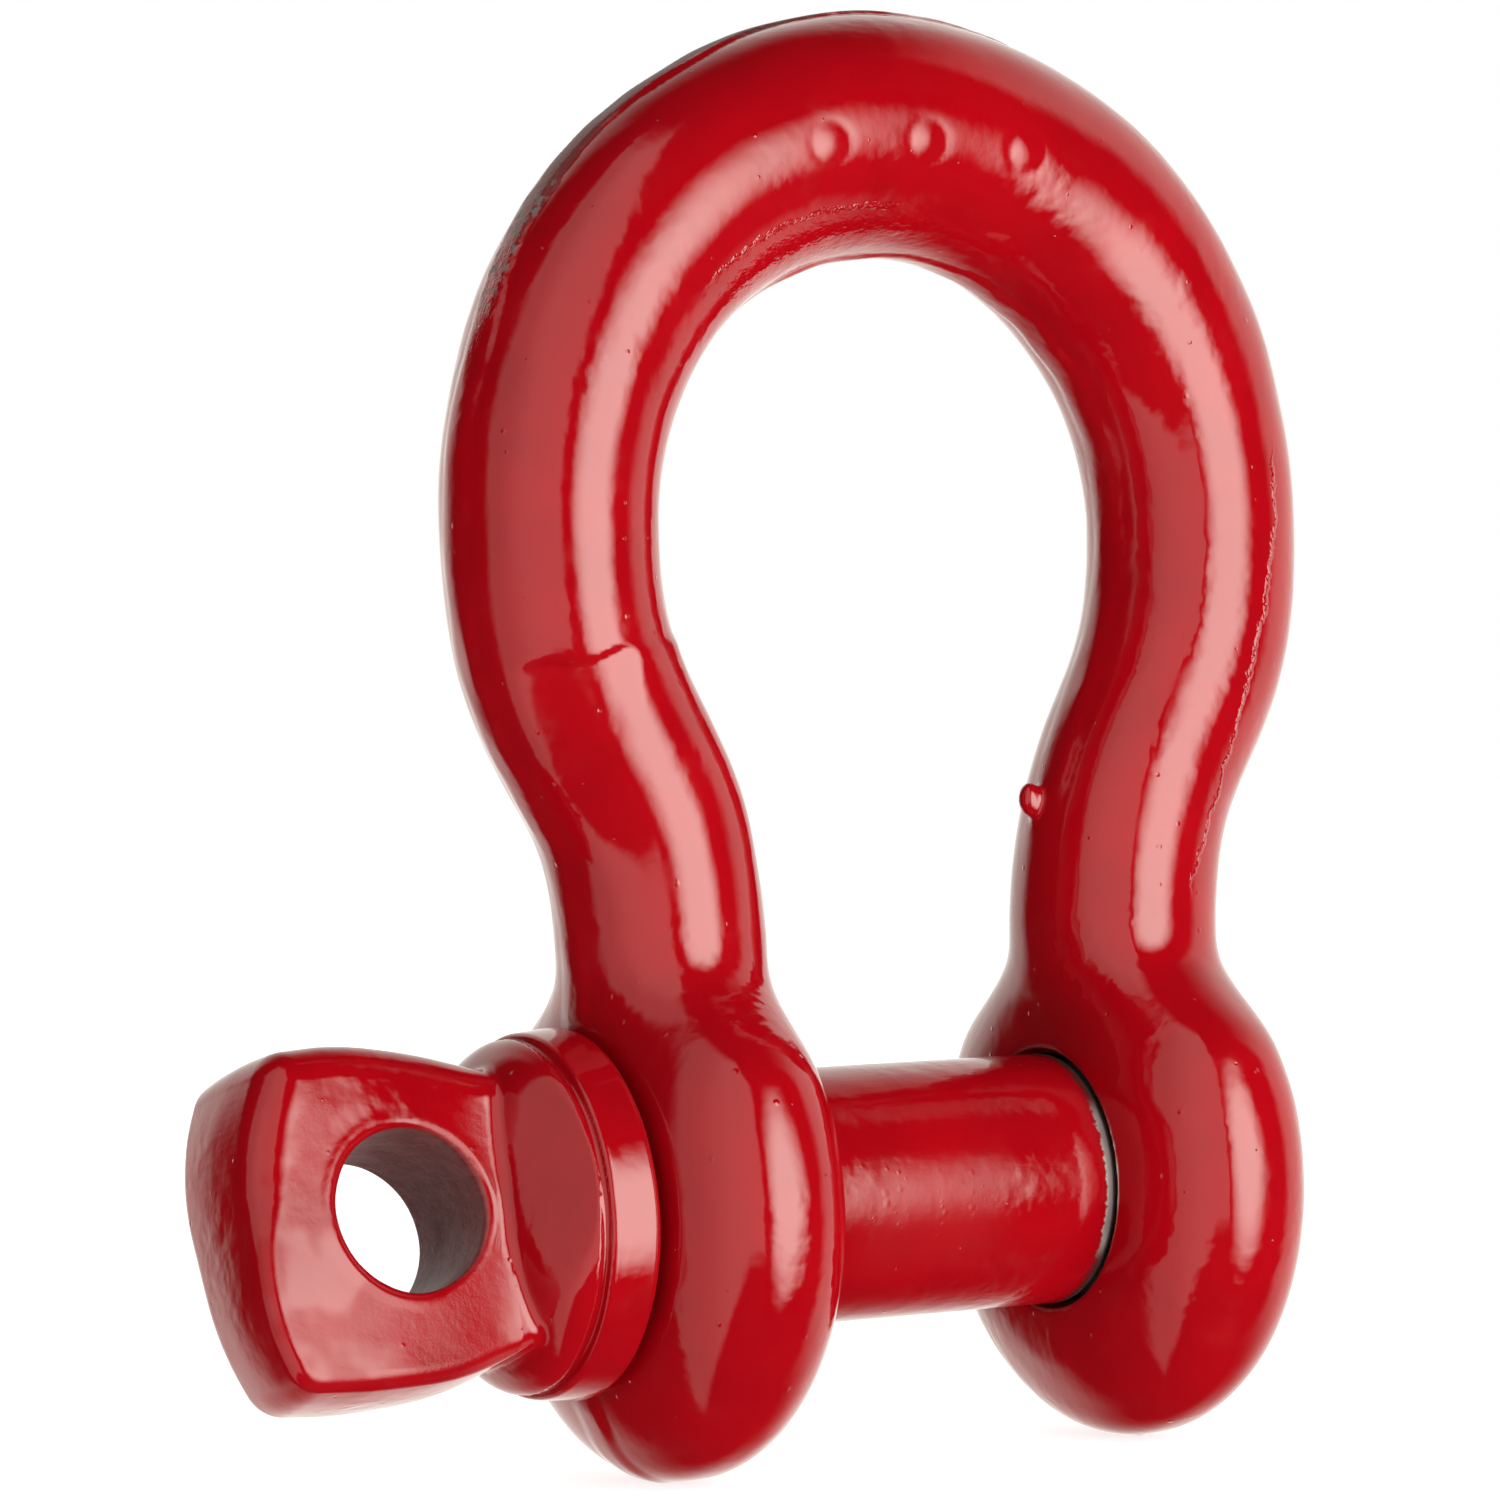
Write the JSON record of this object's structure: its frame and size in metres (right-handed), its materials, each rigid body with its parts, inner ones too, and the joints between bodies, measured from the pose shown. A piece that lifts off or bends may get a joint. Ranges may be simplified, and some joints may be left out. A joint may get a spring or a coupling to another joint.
{
  "type": "bow shackle",
  "caption": "Forged bow shackle with two round eyes and a threaded screw pin whose flat eyed head is turned by hand or with a bar; the bow takes slings and the pin takes a lug.",
  "frame": {"origin": "middle of the underside of the whole object's box at rest, which is level with the underside of the eyes", "axes": "+Z from the eyes up to the crown of the bow, X along the pin with the pin's head at -X, Y across the bow"},
  "size_m": [0.1264, 0.0548, 0.1473],
  "materials": {
    "bow_paint": "thick glossy red enamel over a forging, slight orange peel, chipped at the trimmed flash",
    "pin_paint": "glossy red enamel, worn through to steel in a ring where the shank meets the threaded eye"
  },
  "bodies": {
    "bow": {"bow": "bow_paint"},
    "screw_pin": {"screw_pin": "pin_paint"}
  },
  "joints": [
    {"name": "pin_slide", "type": "slide", "parent": "bow", "child": "screw_pin", "axis": [-1, 0, 0], "range_m": [0, 0.086]}
  ]
}
